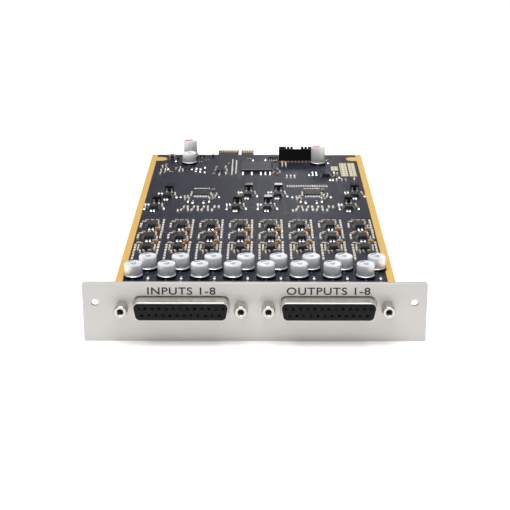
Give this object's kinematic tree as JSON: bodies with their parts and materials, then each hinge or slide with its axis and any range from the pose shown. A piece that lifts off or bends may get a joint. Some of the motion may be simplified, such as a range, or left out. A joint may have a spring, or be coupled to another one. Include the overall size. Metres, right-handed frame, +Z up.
{
  "type": "microphone preamp card",
  "caption": "Multichannel microphone preamp card: front panel with two 25-way D sockets on a long circuit board with a card-edge plug at the back.",
  "frame": {"origin": "midway between the two panel screw holes, on the front panel's front face", "axes": "+X along the panel to the right as seen from the front, +Y back along the circuit board into the host, +Z up"},
  "size_m": [0.1356, 0.2572, 0.0248],
  "materials": {
    "panel_anodised": "fine satin anodised",
    "nickel_shell": "bright nickel plating on drawn steel",
    "black_moulding": "moulded, fine texture",
    "gold_contacts": "gold plated",
    "bracket_steel": "tinned steel",
    "jackscrew_nickel": "nickel plated, turned",
    "board_mask": "black solder mask over copper",
    "gold_plating": "gold over copper, satin",
    "capacitor_aluminium": "drawn and coated aluminium",
    "tinned_leads": "tin plated",
    "solder": "reflowed solder",
    "tan_ceramic": "fired ceramic with tinned ends",
    "orange_moulding": "moulded resin",
    "resistor_black": "glazed, tinned ends",
    "white_ceramic": "white fired ceramic",
    "ferrite": "ferrite block",
    "relay_black": "moulded epoxy",
    "chip_moulding": "moulded epoxy, satin"
  },
  "bodies": {
    "root": {"bus_resistors": "resistor_black", "channel_ceramic_capacitors": "tan_ceramic", "channel_filter_chips": "white_ceramic", "channel_resistors": "resistor_black", "circuit_board": "board_mask", "control_chip": "chip_moulding", "control_chip_balls": "solder", "converter_ceramic_capacitors": "tan_ceramic", "converter_chips": "chip_moulding", "converter_coupling_resistors": "resistor_black", "converter_filter_chips": "white_ceramic", "converter_leads": "tinned_leads", "converter_resistors": "resistor_black", "converter_terminators": "resistor_black", "coupling_capacitor_bases": "black_moulding", "coupling_capacitor_cans": "capacitor_aluminium", "coupling_capacitor_leads": "tinned_leads", "edge_fingers": "gold_plating", "edge_plating": "gold_plating", "front_panel": "panel_anodised", "gain_switch_chips": "chip_moulding", "gain_switch_leads": "tinned_leads", "header_pins": "gold_contacts", "header_shroud": "black_moulding", "heat_pads": "gold_plating", "input_socket_brackets": "bracket_steel", "input_socket_contacts": "gold_contacts", "input_socket_insulator": "black_moulding", "input_socket_shell": "nickel_shell", "jackscrews": "jackscrew_nickel", "line_driver_chips": "chip_moulding", "line_driver_leads": "tinned_leads", "memory_chip": "chip_moulding", "memory_chip_leads": "tinned_leads", "output_socket_brackets": "bracket_steel", "output_socket_contacts": "gold_contacts", "output_socket_insulator": "black_moulding", "output_socket_shell": "nickel_shell", "photorelay_leads": "tinned_leads", "photorelays": "relay_black", "power_inductor": "ferrite", "preamp_chips": "chip_moulding", "preamp_leads": "tinned_leads", "regulator_chip": "chip_moulding", "regulator_leads": "tinned_leads", "relay_ceramic_capacitors": "tan_ceramic", "relay_driver_chips": "chip_moulding", "relay_driver_leads": "tinned_leads", "relay_resistors": "resistor_black", "short_supply_capacitor_can": "capacitor_aluminium", "solder_joints": "solder", "supply_capacitor_bases": "black_moulding", "supply_capacitor_leads": "tinned_leads", "supply_ceramic_capacitors": "tan_ceramic", "supply_resistors": "resistor_black", "tall_supply_capacitor_cans": "capacitor_aluminium", "tantalum_capacitors": "orange_moulding", "test_pads": "gold_plating", "transistor_leads": "tinned_leads", "transistors": "chip_moulding"}
  },
  "joints": []
}
